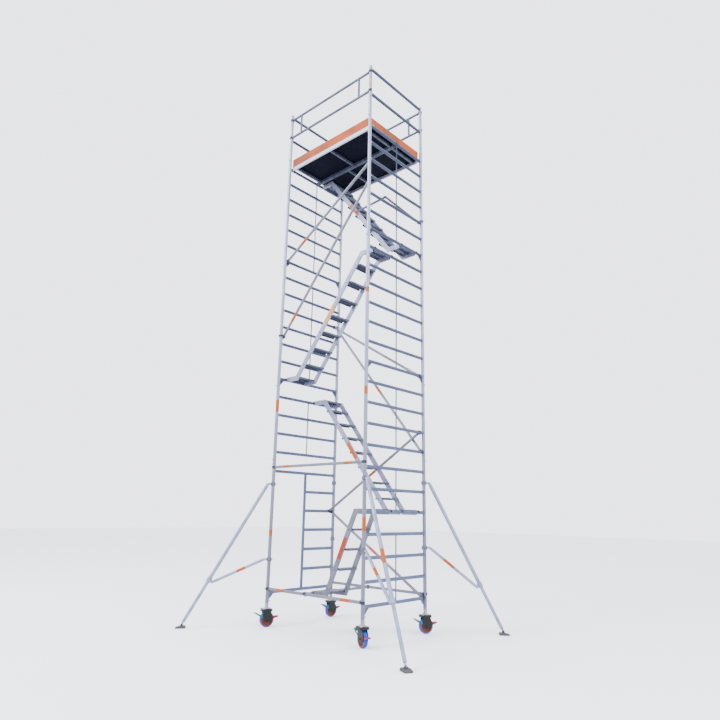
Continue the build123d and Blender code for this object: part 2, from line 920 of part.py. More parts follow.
def castor_stem(x, y):
    """The fixed stem: plug in the upright, collar, dome and king pin."""
    head_top = 2 * wheel_radius + fork_top_gap + head_thickness
    dome_bottom = head_top + head_gap
    dome_top = dome_bottom + dome_height
    with BuildPart() as piece:
        with Locations((x, y, dome_bottom)):
            Cone(
                dome_radius,
                tube_radius + 2,
                dome_height,
                align=(Align.CENTER, Align.CENTER, Align.MIN),
            )
        with BuildSketch(Plane.XY.offset(dome_top)):
            with Locations((x, y)):
                Circle(tube_radius)
        extrude(amount=leg_bottom - dome_top)
        with BuildSketch(Plane.XY.offset(leg_bottom)):
            with Locations((x, y)):
                Circle(spigot_diameter / 2)
        extrude(amount=spigot_length * 0.8)
        with BuildSketch(Plane.XY.offset(dome_bottom + dome_height / 2)):
            with Locations((x, y)):
                Circle(spigot_diameter / 2 - 2 * spigot_wall)
        extrude(amount=spigot_length * 2, mode=Mode.SUBTRACT)
        with BuildSketch(Plane.XY.offset(dome_bottom)):
            with Locations((x, y)):
                Circle(king_pin_radius)
        extrude(amount=-(head_thickness + head_gap - 1))
        with Locations((x, y, leg_bottom + pin_above_joint)):
            Cylinder(
                pin_diameter / 2 + pin_clearance,
                2 * tube_diameter,
                rotation=(90, 0, 0),
                mode=Mode.SUBTRACT,
            )
    return piece.part


def castor_head():
    """The swivel cap over the wheel, with the king pin's bore."""
    with BuildPart() as piece:
        with BuildSketch(Plane.XY.offset(2 * wheel_radius + fork_top_gap)):
            RectangleRounded(*head_size, head_round)
            Circle(king_pin_radius + running_clearance, mode=Mode.SUBTRACT)
        extrude(amount=head_thickness)
        chamfer(piece.faces().sort_by(Axis.Z)[-1].outer_wire().edges(), head_chamfer)
    return piece.part


def castor_plate(side):
    """One side of the fork, from the cap down to the axle."""
    inner = side * (tyre_width / 2 + fork_side_gap)
    top = 2 * wheel_radius + fork_top_gap
    with BuildPart() as piece:
        with BuildSketch(Plane.XZ.offset(-inner)):
            with Locations((0, top - fork_boss_radius / 2)):
                Rectangle(fork_top_length, fork_boss_radius)
            with Locations((castor_trail, wheel_radius)):
                Circle(fork_boss_radius)
            with Locations(fork_shield_at):
                Circle(fork_shield_radius)
            make_hull()
            with Locations((castor_trail, wheel_radius)):
                Circle(axle_radius + running_clearance, mode=Mode.SUBTRACT)
        extrude(amount=-side * fork_plate)
    return piece.part


def castor_axle():
    """The axle with a nut on each end, outside the fork."""
    nut_start = tyre_width / 2 + fork_side_gap + fork_plate + weld_gap
    with BuildPart() as piece:
        with Locations((castor_trail, 0, wheel_radius)):
            Cylinder(axle_radius, 2 * (nut_start + axle_nut), rotation=(90, 0, 0))
        for side in (-1, 1):
            with BuildSketch(Plane.XZ.offset(-side * nut_start)) as nut:
                with Locations((castor_trail, wheel_radius)):
                    RegularPolygon(axle_nut_radius, 6)
            extrude(nut.sketch, amount=-side * axle_nut)
    return piece.part


def castor_tyre():
    """The tyre, with round shoulders."""
    with BuildPart() as piece:
        with Locations((castor_trail, 0, wheel_radius)):
            Cylinder(wheel_radius, tyre_width, rotation=(90, 0, 0))
        rims = piece.edges().filter_by(GeomType.CIRCLE)
        fillet(rims, tyre_round)
        with Locations((castor_trail, 0, wheel_radius)):
            Cylinder(
                tyre_inner_radius + tyre_fit,
                tyre_width,
                rotation=(90, 0, 0),
                mode=Mode.SUBTRACT,
            )
    return piece.part


def castor_core():
    """The wheel's core: rim, web and hub."""
    recess = (core_width - core_web) / 2
    with BuildPart() as piece:
        with Locations((castor_trail, 0, wheel_radius)):
            Cylinder(tyre_inner_radius, core_width, rotation=(90, 0, 0))
        for side in (-1, 1):
            with BuildSketch(Plane.XZ.offset(-side * core_web / 2)) as ring:
                with Locations((castor_trail, wheel_radius)):
                    Circle(tyre_inner_radius - core_rim)
                    Circle(core_hub_radius, mode=Mode.SUBTRACT)
            extrude(ring.sketch, amount=-side * recess, mode=Mode.SUBTRACT)
        with Locations((castor_trail, 0, wheel_radius)):
            Cylinder(
                axle_radius + running_clearance,
                core_width,
                rotation=(90, 0, 0),
                mode=Mode.SUBTRACT,
            )
    return piece.part


def pedal(pad_at, layer):
    """A pedal: two arms on the axle, layered inside the fork, and the pad between them."""
    layer_step = pedal_arm_thickness + pedal_arm_gap
    start = tyre_width / 2 + pedal_arm_gap + layer * layer_step
    x, z = pad_at
    slope = degrees(atan2(z - wheel_radius, x - castor_trail))
    pieces = []
    for side in (-1, 1):
        with BuildPart() as arm:
            with BuildSketch(Plane.XZ.offset(-side * start)):
                with Locations((castor_trail, wheel_radius)):
                    Circle(pedal_hub_radius)
                with Locations((x, z)):
                    Circle(pedal_tip_radius)
                make_hull()
                with Locations((castor_trail, wheel_radius)):
                    Circle(axle_radius + running_clearance, mode=Mode.SUBTRACT)
            extrude(amount=-side * pedal_arm_thickness)
        pieces.append(arm.part)
    length, thickness = pedal_pad
    plane = Plane.XZ
    with BuildPart() as pad:
        with BuildSketch(plane):
            with Locations(Location((x, z, 0), (0, 0, slope))):
                RectangleRounded(length, thickness, thickness / 3)
        extrude(amount=start - weld_gap, both=True)
    pieces.append(pad.part)
    return pieces


def placed(pieces, x, y, heading):
    """Pieces made with their corner at the origin, turned and moved to a corner."""
    place = Plane(
        origin=(x, y, 0), x_dir=(cos(radians(heading)), sin(radians(heading)), 0)
    )
    return [piece.moved(place.location) for piece in pieces]


keep("castor_stems", [castor_stem(x, y) for x, y in corner_points])
fork = [castor_head(), castor_plate(-1), castor_plate(1), castor_axle()]
castor_parts = {
    "castor_fork": fork,
    "castor_tyre": [castor_tyre()],
    "castor_core": [castor_core()],
    "brake_pedal": pedal(brake_pedal_at, 0),
    "release_pedal": pedal(release_pedal_at, 1),
}
for corner, (sx, sy, heading, *_) in corners.items():
    for part_name, pieces in castor_parts.items():
        spot = placed(pieces, sx * half_length, sy * half_width, heading)
        keep(f"{part_name}_{corner}", spot)


# ---------------------------------------------------------------- stabilisers
# Each is made in the XZ plane, with its upright's axis at X = 0.


def along(start, end, distance):
    """The point at a distance from start towards end, in X and Z."""
    run = Vector(end[0] - start[0], 0, end[1] - start[1]).normalized()
    return (start[0] + run.X * distance, start[1] + run.Z * distance)


def flat_tube(start, end, diameter, wall):
    """A tube between two points given in X and Z."""
    return tube((start[0], 0, start[1]), (end[0], 0, end[1]), diameter, wall)


def coupler(height, toward, inner_diameter):
    """A clamp round the upright, with a bracket and a plug for the tube it carries."""
    bore = tube_radius + coupler_clearance
    pivot = (pivot_reach, height)
    run = Vector(toward[0] - pivot[0], 0, toward[1] - pivot[1]).normalized()
    plug_plane = Plane(origin=(pivot[0], 0, pivot[1]), z_dir=run)
    thickness, tall = bracket_size
    with BuildPart() as piece:
        with BuildSketch(Plane.XY.offset(height - coupler_height / 2)):
            Circle(bore + coupler_wall)
        extrude(amount=coupler_height)
        with BuildSketch(Plane.XZ):
            with Locations(((pivot[0] + bore) / 2, height)):
                Rectangle(pivot[0] - bore, tall)
            with Locations(pivot):
                Circle(tall / 2)
        extrude(amount=thickness / 2, both=True)
        with BuildSketch(plug_plane):
            Circle(inner_diameter / 2 - plug_clearance)
        extrude(amount=tube_start + claw_plug)
        with Locations((-bore - coupler_wall, 0, height)):
            Cylinder(coupler_bolt_radius, coupler_bolt_length, rotation=(0, 90, 0))
        with BuildSketch(Plane.XY.offset(height - coupler_height)):
            Circle(bore)
        extrude(amount=2 * coupler_height, mode=Mode.SUBTRACT)
    return piece.part


def leg_line(leg):
    """Ends of the leg's axis: at its coupler and at the foot's pivot.

    A leg is given by the reach of its foot and the height of its coupler.
    """
    reach, height = leg
    return (pivot_reach, height), (reach, foot_pivot_height)


def arm_end(leg):
    """Where the arm's axis meets the sleeve's bracket."""
    top, foot = leg_line(leg)
    length = Vector(foot[0] - top[0], 0, foot[1] - top[1]).length
    middle = along(top, foot, length * sleeve_share)
    run = Vector(foot[0] - top[0], 0, foot[1] - top[1]).normalized()
    return (middle[0] + run.Z * sleeve_bracket, middle[1] - run.X * sleeve_bracket)


def sleeve(leg, arm_start):
    """The collar on the outer leg, with a bracket and a plug for the arm."""
    top, foot = leg_line(leg)
    length = Vector(foot[0] - top[0], 0, foot[1] - top[1]).length
    middle = along(top, foot, length * sleeve_share)
    run = Vector(foot[0] - top[0], 0, foot[1] - top[1]).normalized()
    end = arm_end(leg)
    arm_run = Vector(arm_start[0] - end[0], 0, arm_start[1] - end[1]).normalized()
    collar = Plane(origin=(middle[0], 0, middle[1]), z_dir=run)
    bracket = Plane(origin=collar.origin, z_dir=Vector(end[0] - middle[0], 0, end[1] - middle[1]))
    bore = outer_leg_diameter / 2 + sleeve_fit
    thickness, tall = bracket_size
    with BuildPart() as piece:
        with BuildSketch(collar.offset(-sleeve_length / 2)):
            Circle(bore + sleeve_wall)
        extrude(amount=sleeve_length)
        with BuildSketch(bracket):
            Rectangle(tall * 1.4, thickness * 1.4)
        extrude(amount=sleeve_bracket + tall / 2)
        with BuildSketch(Plane(origin=(end[0], 0, end[1]), z_dir=arm_run)):
            Circle(brace_diameter / 2 - brace_wall - plug_clearance)
        extrude(amount=tube_start + claw_plug)
        with BuildSketch(collar.offset(-sleeve_length)):
            Circle(bore)
        extrude(amount=2 * sleeve_length, mode=Mode.SUBTRACT)
    return piece.part


def stabiliser_frame(leg, low):
    """Outer leg, arm and sleeve."""
    top, foot = leg_line(leg)
    length = Vector(foot[0] - top[0], 0, foot[1] - top[1]).length
    leg_end = length * sleeve_share + sleeve_length / 2
    outer = flat_tube(
        along(top, foot, tube_start),
        along(top, foot, leg_end),
        outer_leg_diameter,
        outer_leg_wall,
    )
    arm_start, end = (pivot_reach, low), arm_end(leg)
    arm = flat_tube(
        along(arm_start, end, tube_start),
        along(end, arm_start, tube_start),
        brace_diameter,
        brace_wall,
    )
    return [outer, arm, sleeve(leg, arm_start)]


def stabiliser_leg(leg):
    """The inner leg that slides in the outer one, with its tongue at the foot."""
    top, foot = leg_line(leg)
    length = Vector(foot[0] - top[0], 0, foot[1] - top[1]).length
    start = length * sleeve_share - inner_leg_overlap
    tube_end = along(foot, top, foot_tube_gap)
    inner = flat_tube(along(top, foot, start), tube_end, inner_leg_diameter, inner_leg_wall)
    run = Vector(foot[0] - top[0], 0, foot[1] - top[1]).normalized()
    blade_plane = Plane(origin=(foot[0], 0, foot[1]), x_dir=run, z_dir=(0, -1, 0))
    blade = foot_tube_gap - weld_gap
    with BuildPart() as tongue:
        with BuildSketch(blade_plane):
            Circle(foot_tongue_radius)
            with Locations((-blade / 2, 0)):
                Rectangle(blade, 2 * foot_tongue_radius)
            Circle(foot_pin_radius + running_clearance, mode=Mode.SUBTRACT)
        extrude(amount=foot_tongue / 2, both=True)
    return [inner, tongue.part]


def stabiliser_foot(reach):
    """A wedge-shaped pad with two lugs and the pin that they hold."""
    length, width, thickness = foot_base
    lug_inner = foot_tongue / 2 + foot_lug_gap
    back, front = reach - length * 0.4, reach + length * 0.6
    with BuildPart() as piece:
        with BuildSketch(Plane.XZ):
            with BuildLine():
                Polyline(
                    (back, 0),
                    (front, 0),
                    (front, thickness * 0.7),
                    (reach + foot_lug_radius, thickness * 1.6),
                    (back, thickness * 1.6),
                    close=True,
                )
            make_face()
        extrude(amount=width / 2, both=True)
        chamfer(piece.edges().filter_by(Axis.Z), thickness / 2)
        with BuildSketch(Plane.XZ) as lug_outline:
            with Locations((reach, foot_pivot_height)):
                Circle(foot_lug_radius)
            with Locations((reach, thickness)):
                Rectangle(3 * foot_lug_radius, thickness)
            make_hull()
        for side in (-1, 1):
            face = lug_outline.sketch.moved(Location((0, side * lug_inner, 0)))
            extrude(face, amount=-side * foot_lug)
        with Locations((reach, 0, foot_pivot_height)):
            Cylinder(foot_pin_radius, 2 * (lug_inner + 2 * foot_lug), rotation=(90, 0, 0))
    return piece.part


for corner, (sx, sy, _, heading, reach, high_rise, low_rise) in corners.items():
    high, low = bottom_rung_height + high_rise, bottom_rung_height + low_rise
    leg = (reach, high)
    couplers = [
        coupler(high, leg_line(leg)[1], outer_leg_diameter - 2 * outer_leg_wall),
        coupler(low, arm_end(leg), brace_diameter - 2 * brace_wall),
    ]
    spot = (sx * half_length, sy * half_width, heading)
    keep(f"stabiliser_couplers_{corner}", placed(couplers, *spot))
    keep(f"stabiliser_frame_{corner}", placed(stabiliser_frame(leg, low), *spot))
    keep(f"stabiliser_leg_{corner}", placed(stabiliser_leg(leg), *spot))
    keep(f"stabiliser_foot_{corner}", placed([stabiliser_foot(reach)], *spot))


# ---------------------------------------------------------------- inner handrail

def inner_handrail():
    """An L-shaped rail beside the top flight: across the end frame, then along X."""
    start = (handrail_x, half_width + handrail_overhang, level(handrail_rung) + handrail_low)
    corner_point = (handrail_x, handrail_corner_y, level(handrail_rung) + handrail_high)
    end = (handrail_end_x, handrail_corner_y, level(handrail_rung) + handrail_end)
    run = (Vector(*corner_point) - Vector(*start)).normalized()
    middle = Vector(*start) + run * handrail_overhang
    bend_out = Vector(*corner_point) + run * handrail_diameter / 2
    bend_in = (handrail_x - handrail_diameter / 2 - weld_gap, *corner_point[1:])
    return [
        tube(start, tuple(bend_out), handrail_diameter, brace_wall),
        tube(bend_in, end, handrail_diameter, brace_wall),
        double_clamp((half_length, half_width), middle, run, handrail_diameter),
    ]


keep("inner_handrail", inner_handrail())

claws = []
for brace in (*level_braces, *diagonals, front_guard, back_guard):
    claws += brace[1]
keep("brace_claws", claws)

# The stabilisers' pads bound the footprint, whose middle is the origin.
pads = [nodes[f"stabiliser_foot_{corner}"] for corner in corners]
footprint = Compound(pads).bounding_box().center()
to_origin = Location((-footprint.X, -footprint.Y, 0))
for name, node in nodes.items():
    placed_node = node.moved(to_origin)
    placed_node.label = name
    export_step(placed_node, f"parts/{name}.step")
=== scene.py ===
"""Looks of the mobile tower scaffold: materials, stickers, fasteners, floor, light, camera."""

import json
import math

import bpy
from mathutils import Matrix, Vector


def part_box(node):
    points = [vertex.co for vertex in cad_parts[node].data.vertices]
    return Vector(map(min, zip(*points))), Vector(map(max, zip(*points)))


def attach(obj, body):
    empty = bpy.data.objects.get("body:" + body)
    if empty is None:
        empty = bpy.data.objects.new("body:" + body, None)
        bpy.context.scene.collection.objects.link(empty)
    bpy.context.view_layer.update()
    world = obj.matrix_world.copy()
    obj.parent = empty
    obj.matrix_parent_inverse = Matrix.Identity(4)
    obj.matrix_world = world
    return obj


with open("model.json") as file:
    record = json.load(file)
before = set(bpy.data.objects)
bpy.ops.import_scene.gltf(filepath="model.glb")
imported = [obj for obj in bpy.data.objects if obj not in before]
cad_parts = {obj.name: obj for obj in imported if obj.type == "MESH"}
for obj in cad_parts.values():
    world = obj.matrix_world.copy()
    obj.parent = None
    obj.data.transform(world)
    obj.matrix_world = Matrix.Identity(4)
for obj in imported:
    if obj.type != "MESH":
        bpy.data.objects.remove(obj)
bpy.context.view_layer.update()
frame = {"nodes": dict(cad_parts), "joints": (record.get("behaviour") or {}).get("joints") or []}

JOINTS = {joint["name"]: joint for joint in frame["joints"]}
CORNERS = ("front_left", "front_right", "back_right", "back_left")
UP = Vector((0, 0, 1))

# ---------------------------------------------------------------- places from the frame

# Metres, as everything in this file
UPRIGHT_RADIUS = 0.025
RUNG_RADIUS = 0.0225
BRACE_RADIUS = 0.020
RUNGS_PER_BASE = 7
RUNG_COUNT = 25


def joint_place(name):
    """A joint's position in the row frame."""
    return Vector(JOINTS[name]["pos_m"])


def joint_axis(name):
    """A joint's axis in the row frame."""
    return Vector(JOINTS[name]["axis"]).normalized()


def node_span(name):
    """Lowest and highest corners of a CAD node as vectors."""
    low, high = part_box(name)
    return Vector(low), Vector(high)


UPRIGHTS = {c: joint_place(f"castor_swivel_{c}").xy for c in CORNERS}
CENTRE = sum(UPRIGHTS.values(), Vector((0, 0))) / len(CORNERS)
LEFT_X, RIGHT_X = UPRIGHTS["front_left"].x, UPRIGHTS["front_right"].x
FRONT_Y, BACK_Y = UPRIGHTS["front_left"].y, UPRIGHTS["back_left"].y
BASE_LOW, BASE_HIGH = node_span("ladder_end_frame")
PITCH = (BASE_HIGH.z - BASE_LOW.z) / RUNGS_PER_BASE
LEG_BOTTOM = BASE_LOW.z


def rung_height(number):
    """Height of a rung's axis."""
    return LEG_BOTTOM + PITCH * (number + 0.5)


# ---------------------------------------------------------------- materials


class Shader:
    """A node material built step by step in object coordinates."""

    def __init__(self, name, colour, roughness=0.4, metallic=0.0):
        self.material = bpy.data.materials.new(name)
        self.material.use_nodes = True
        self.nodes = self.material.node_tree.nodes
        self.links = self.material.node_tree.links
        self.bsdf = self.nodes["Principled BSDF"]
        self.bsdf.inputs["Base Color"].default_value = (*colour, 1)
        self.bsdf.inputs["Roughness"].default_value = roughness
        self.bsdf.inputs["Metallic"].default_value = metallic
        self.bsdf.inputs["Specular IOR Level"].default_value = 0.2
        self.material.diffuse_color = (*colour, 1)
        self.coordinates = self.nodes.new("ShaderNodeTexCoord").outputs["Object"]

    def put(self, socket, value):
        """Link a socket, or set its constant."""
        if isinstance(value, bpy.types.NodeSocket):
            self.links.new(value, socket)
        else:
            socket.default_value = value

    def stretched(self, scale):
        """Object coordinates scaled along each axis."""
        node = self.nodes.new("ShaderNodeMapping")
        node.inputs["Scale"].default_value = scale
        self.links.new(self.coordinates, node.inputs["Vector"])
        return node.outputs["Vector"]

    def noise(self, scale, detail=4, stretch=(1, 1, 1)):
        """Noise from 0 to 1."""
        node = self.nodes.new("ShaderNodeTexNoise")
        node.inputs["Scale"].default_value = scale
        node.inputs["Detail"].default_value = detail
        self.links.new(self.stretched(stretch), node.inputs["Vector"])
        return node.outputs["Fac"]

    def ramp(self, factor, low, high):
        """A factor spread so that low gives 0 and high gives 1."""
        node = self.nodes.new("ShaderNodeMapRange")
        self.put(node.inputs["Value"], factor)
        node.inputs["From Min"].default_value = low
        node.inputs["From Max"].default_value = high
        return node.outputs["Result"]

    def math(self, operation, first, second=0.0):
        """One step of arithmetic."""
        node = self.nodes.new("ShaderNodeMath")
        node.operation = operation
        self.put(node.inputs[0], first)
        self.put(node.inputs[1], second)
        return node.outputs["Value"]

    def axis(self, letter):
        """One object coordinate."""
        node = self.nodes.new("ShaderNodeSeparateXYZ")
        self.links.new(self.coordinates, node.inputs["Vector"])
        return node.outputs[letter]

    def near(self, letter, centre, half, soft=0.001):
        """1 where a coordinate is within half of centre, else 0."""
        distance = self.math("ABSOLUTE", self.math("SUBTRACT", self.axis(letter), centre))
        return self.ramp(distance, half + soft, half)

    def mix(self, factor, first, second):
        """A colour between two colours."""
        node = self.nodes.new("ShaderNodeMix")
        node.data_type = "RGBA"
        self.put(node.inputs["Factor"], factor)
        for socket, colour in ((node.inputs[6], first), (node.inputs[7], second)):
            self.put(socket, (*colour, 1) if isinstance(colour, tuple) else colour)
        return node.outputs[2]

    def paint(self, colour):
        """Link the base colour."""
        self.links.new(colour, self.bsdf.inputs["Base Color"])

    def roughen(self, factor, low, high):
        """Roughness that runs between two values with a factor."""
        node = self.nodes.new("ShaderNodeMapRange")
        self.put(node.inputs["Value"], factor)
        node.inputs["To Min"].default_value = low
        node.inputs["To Max"].default_value = high
        self.links.new(node.outputs["Result"], self.bsdf.inputs["Roughness"])

    def bump(self, factor, strength, distance=0.001):
        """Small relief."""
        node = self.nodes.new("ShaderNodeBump")
        node.inputs["Strength"].default_value = strength
        node.inputs["Distance"].default_value = distance
        self.links.new(factor, node.inputs["Height"])
        self.links.new(node.outputs["Normal"], self.bsdf.inputs["Normal"])


def shade(colour, share):
    """A colour made darker or lighter."""
    return tuple(min(1.0, part * share) for part in colour)


def worn_metal(name, colour, roughness=0.38, metallic=0.85, stain=0.72, scale=9):
    """Metal with stains and fine scuffs."""
    made = Shader(name, colour, roughness, metallic)
    cloud = made.noise(scale, 6)
    scuffs = made.noise(260, 3, (1, 1, 0.15))
    stained = made.mix(made.ramp(cloud, 0.42, 0.72), colour, shade(colour, stain))
    scuffed = made.ramp(scuffs, 0.62, 0.72)
    made.paint(made.mix(scuffed, stained, made.mix(0.5, stained, shade(colour, 1.25))))
    made.roughen(cloud, roughness - 0.08, roughness + 0.16)
    made.bump(scuffs, 0.12, 0.0004)
    return made


def tube_frame(name, lit_upright, shaded_upright, rung):
    """Frames with painted light: the rungs are darker than the uprights as painted shade, the
    uprights are paler towards the top as painted light from above, and the rungs darken higher up
    as painted shade.
    """
    made = worn_metal(name, lit_upright, 0.36, 0.55)
    cloud = made.noise(7, 5)
    posts = made.math(
        "MAXIMUM",
        made.near("Y", FRONT_Y, UPRIGHT_RADIUS + 0.0006),
        made.near("Y", BACK_Y, UPRIGHT_RADIUS + 0.0006),
    )
    stains = made.ramp(cloud, 0.35, 0.75)
    # Painted light by height: shaded uprights low down and lit ones high up, and rungs lighter low
    # down and in painted shade high up.
    rise = made.ramp(made.axis("Z"), 1.2, 5.0)
    post_painted_light = made.mix(rise, shaded_upright, lit_upright)
    rung = made.mix(rise, shade(rung, 1.9), rung)
    stained = made.mix(stains, post_painted_light, made.mix(0.25, post_painted_light, rung))
    # The rungs keep their painted shade, with random dark stains.
    rung_shade_and_stains = made.mix(made.math("MULTIPLY", stains, 0.25), rung, (0.01, 0.01, 0.02))
    made.paint(made.mix(posts, rung_shade_and_stains, stained))
    return made.material


def coupler_metal(corner):
    """A cast clamp, dark round the upright and pale on the plug that holds the tube."""
    ring_edge, blend = 0.0365, 0.001
    made = worn_metal(f"coupler_metal_{corner}", LEG_PALE, 0.42, 0.5)
    x, y = UPRIGHTS[corner]
    away_x = made.math("POWER", made.math("SUBTRACT", made.axis("X"), x), 2)
    away_y = made.math("POWER", made.math("SUBTRACT", made.axis("Y"), y), 2)
    away = made.math("SQRT", made.math("ADD", away_x, away_y))
    ring = made.ramp(away, ring_edge + blend, ring_edge)
    cloud = made.noise(40, 4)
    dark = made.mix(made.ramp(cloud, 0.4, 0.7), (0.10, 0.11, 0.15), (0.05, 0.055, 0.08))
    made.paint(made.mix(ring, LEG_PALE, dark))
    return made.material


def platform_tubes(edge, inside):
    """Pale long edges, and darker cross bars and middle beams as painted shade."""
    edge_from_middle, blend = 0.5775, 0.001
    made = worn_metal("platform_metal", edge, 0.42, 0.4)
    cloud = made.noise(12, 4)
    across = made.math("ABSOLUTE", made.math("SUBTRACT", made.axis("Y"), CENTRE.y))
    outer = made.ramp(across, edge_from_middle, edge_from_middle + blend)
    # Painted shade on the tubes inside the long edges, with random tone.
    inside_painted_shade = made.mix(made.ramp(cloud, 0.4, 0.7), inside, shade(inside, 1.6))
    made.paint(made.mix(outer, inside_painted_shade, edge))
    return made.material


def painted_wood(name, colours, along):
    """Worn paint on boards, with grain along one axis."""
    made = Shader(name, colours[0], 0.62)
    stretch = tuple(0.06 if letter == along else 1 for letter in "XYZ")
    patches = made.noise(2.2, 3)
    grain = made.noise(70, 5, stretch)
    broad = made.mix(made.ramp(patches, 0.42, 0.58), colours[0], colours[1])
    faded = made.mix(made.ramp(patches, 0.57, 0.72), broad, colours[2])
    made.paint(made.mix(made.ramp(grain, 0.5, 0.78), faded, shade(colours[1], 0.72)))
    made.roughen(grain, 0.5, 0.75)
    made.bump(grain, 0.3, 0.0008)
    return made.material


def plain(
    name, colour, roughness=0.5, metallic=0.0, mottle=0.8, scale=30, bump=0.15, shine=0.2
):
    """A moulded, painted or rubber surface with slight mottling."""
    made = Shader(name, colour, roughness, metallic)
    made.bsdf.inputs["Specular IOR Level"].default_value = shine
    cloud = made.noise(scale, 5)
    made.paint(made.mix(made.ramp(cloud, 0.4, 0.75), colour, shade(colour, mottle)))
    made.roughen(cloud, max(0.05, roughness - 0.1), roughness + 0.12)
    made.bump(cloud, bump, 0.0006)
    return made.material


# Frame tube colours: a lit and a shaded upright colour as painted light from above, and a dark
# rung colour as painted shade seen from below.
UPRIGHT_LIT = (0.245, 0.265, 0.370)
UPRIGHT_SHADED = (0.140, 0.135, 0.185)
RUNG_SHADED = (0.038, 0.050, 0.092)
LEG_PALE = (0.205, 0.235, 0.340)

frame_tubes = tube_frame("frame_tubes", UPRIGHT_LIT, UPRIGHT_SHADED, RUNG_SHADED)
# Guard rails and the handrail get a dark colour as painted shade seen from below.
rails_painted_shade = worn_metal("rails_painted_shade", (0.070, 0.080, 0.125), 0.42, 0.5).material
brace_tubes = worn_metal("brace_tubes", (0.135, 0.140, 0.185), 0.36, 0.5).material
leg_tubes = worn_metal("leg_tubes", LEG_PALE, 0.36, 0.6).material
stringer_metal = worn_metal("stringer_metal", (0.210, 0.222, 0.320), 0.42, 0.45).material
first_stringer = worn_metal("first_stringer", (0.120, 0.124, 0.158), 0.42, 0.45).material
# Stair treads get a dark colour as painted shade on their undersides.
tread_painted_shade = worn_metal("tread_painted_shade", (0.062, 0.072, 0.115), 0.5, 0.3).material
cast_metal = worn_metal("cast_metal", (0.026, 0.031, 0.055), 0.5, 0.4, 0.6, 40).material
zinc = worn_metal("zinc", (0.240, 0.255, 0.300), 0.34, 0.7, 0.7, 30).material
# The second colour is the painted shade of the platform's inner tubes.
platform_metal = platform_tubes((0.30, 0.31, 0.40), (0.035, 0.040, 0.065))
board_face = plain("board_face", (0.0012, 0.0018, 0.0065), 0.7, 0.0, 0.6, 18, 0.05, 0.04)
side_wood = painted_wood(
    "side_wood", ((0.30, 0.048, 0.002), (0.17, 0.032, 0.006), (0.135, 0.062, 0.022)), "X"
)
tyre_blue = plain("tyre_blue", (0.004, 0.034, 0.31), 0.38, 0.0, 0.7, 24)
core_orange = plain("core_orange", (0.149, 0.034, 0.012), 0.5, 0.0, 0.6, 26)
fork_paint = plain("fork_paint", (0.011, 0.013, 0.012), 0.42, 0.2, 0.7, 30)
pedal_red = plain("pedal_red", (0.211, 0.005, 0.015), 0.42, 0.0, 0.7, 30)
pedal_green = plain("pedal_green", (0.004, 0.099, 0.105), 0.42, 0.0, 0.7, 30)
pad_rubber = plain("pad_rubber", (0.056, 0.057, 0.065), 0.8, 0.0, 0.7, 60, 0.3)

NODE_MATERIALS = {
    "door_end_frame": frame_tubes,
    "ladder_end_frame": frame_tubes,
    "short_end_frames": frame_tubes,
    "middle_end_frames": frame_tubes,
    "upper_end_frames": frame_tubes,
    "guard_end_frames": frame_tubes,
    "side_guard_rails": rails_painted_shade,
    "frame_spigots": zinc,
    "locking_pins": zinc,
    "horizontal_braces": brace_tubes,
    "diagonal_braces": brace_tubes,
    "brace_claws": cast_metal,
    "platform_frames": platform_metal,
    "platform_boards": board_face,
    "hatch": board_face,
    "toe_boards": side_wood,
    "stair_treads": tread_painted_shade,
    "stair_hooks": cast_metal,
    "inner_handrail": rails_painted_shade,
    "castor_stems": zinc,
    "castor_fork": fork_paint,
    "castor_tyre": tyre_blue,
    "castor_core": core_orange,
    "brake_pedal": pedal_red,
    "release_pedal": pedal_green,
    "stabiliser_frame": leg_tubes,
    "stabiliser_leg": leg_tubes,
    "stabiliser_foot": pad_rubber,
    "flight_1_stringers": first_stringer,
    "flight_2_stringers": stringer_metal,
    "flight_3_stringers": stringer_metal,
    "flight_4_stringers": stringer_metal,
}


def dress(node, made):
    """Give every slot of a CAD node one material."""
    slots = node.data.materials
    if not slots:
        slots.append(made)
    for number in range(len(slots)):
        slots[number] = made


for node_name, node in frame["nodes"].items():
    family = node_name
    for corner in CORNERS:
        family = family.removesuffix("_" + corner)
    if family == "stabiliser_couplers":
        dress(node, coupler_metal(node_name.removeprefix(family + "_")))
    else:
        dress(node, NODE_MATERIALS[family])


# ---------------------------------------------------------------- small shapes


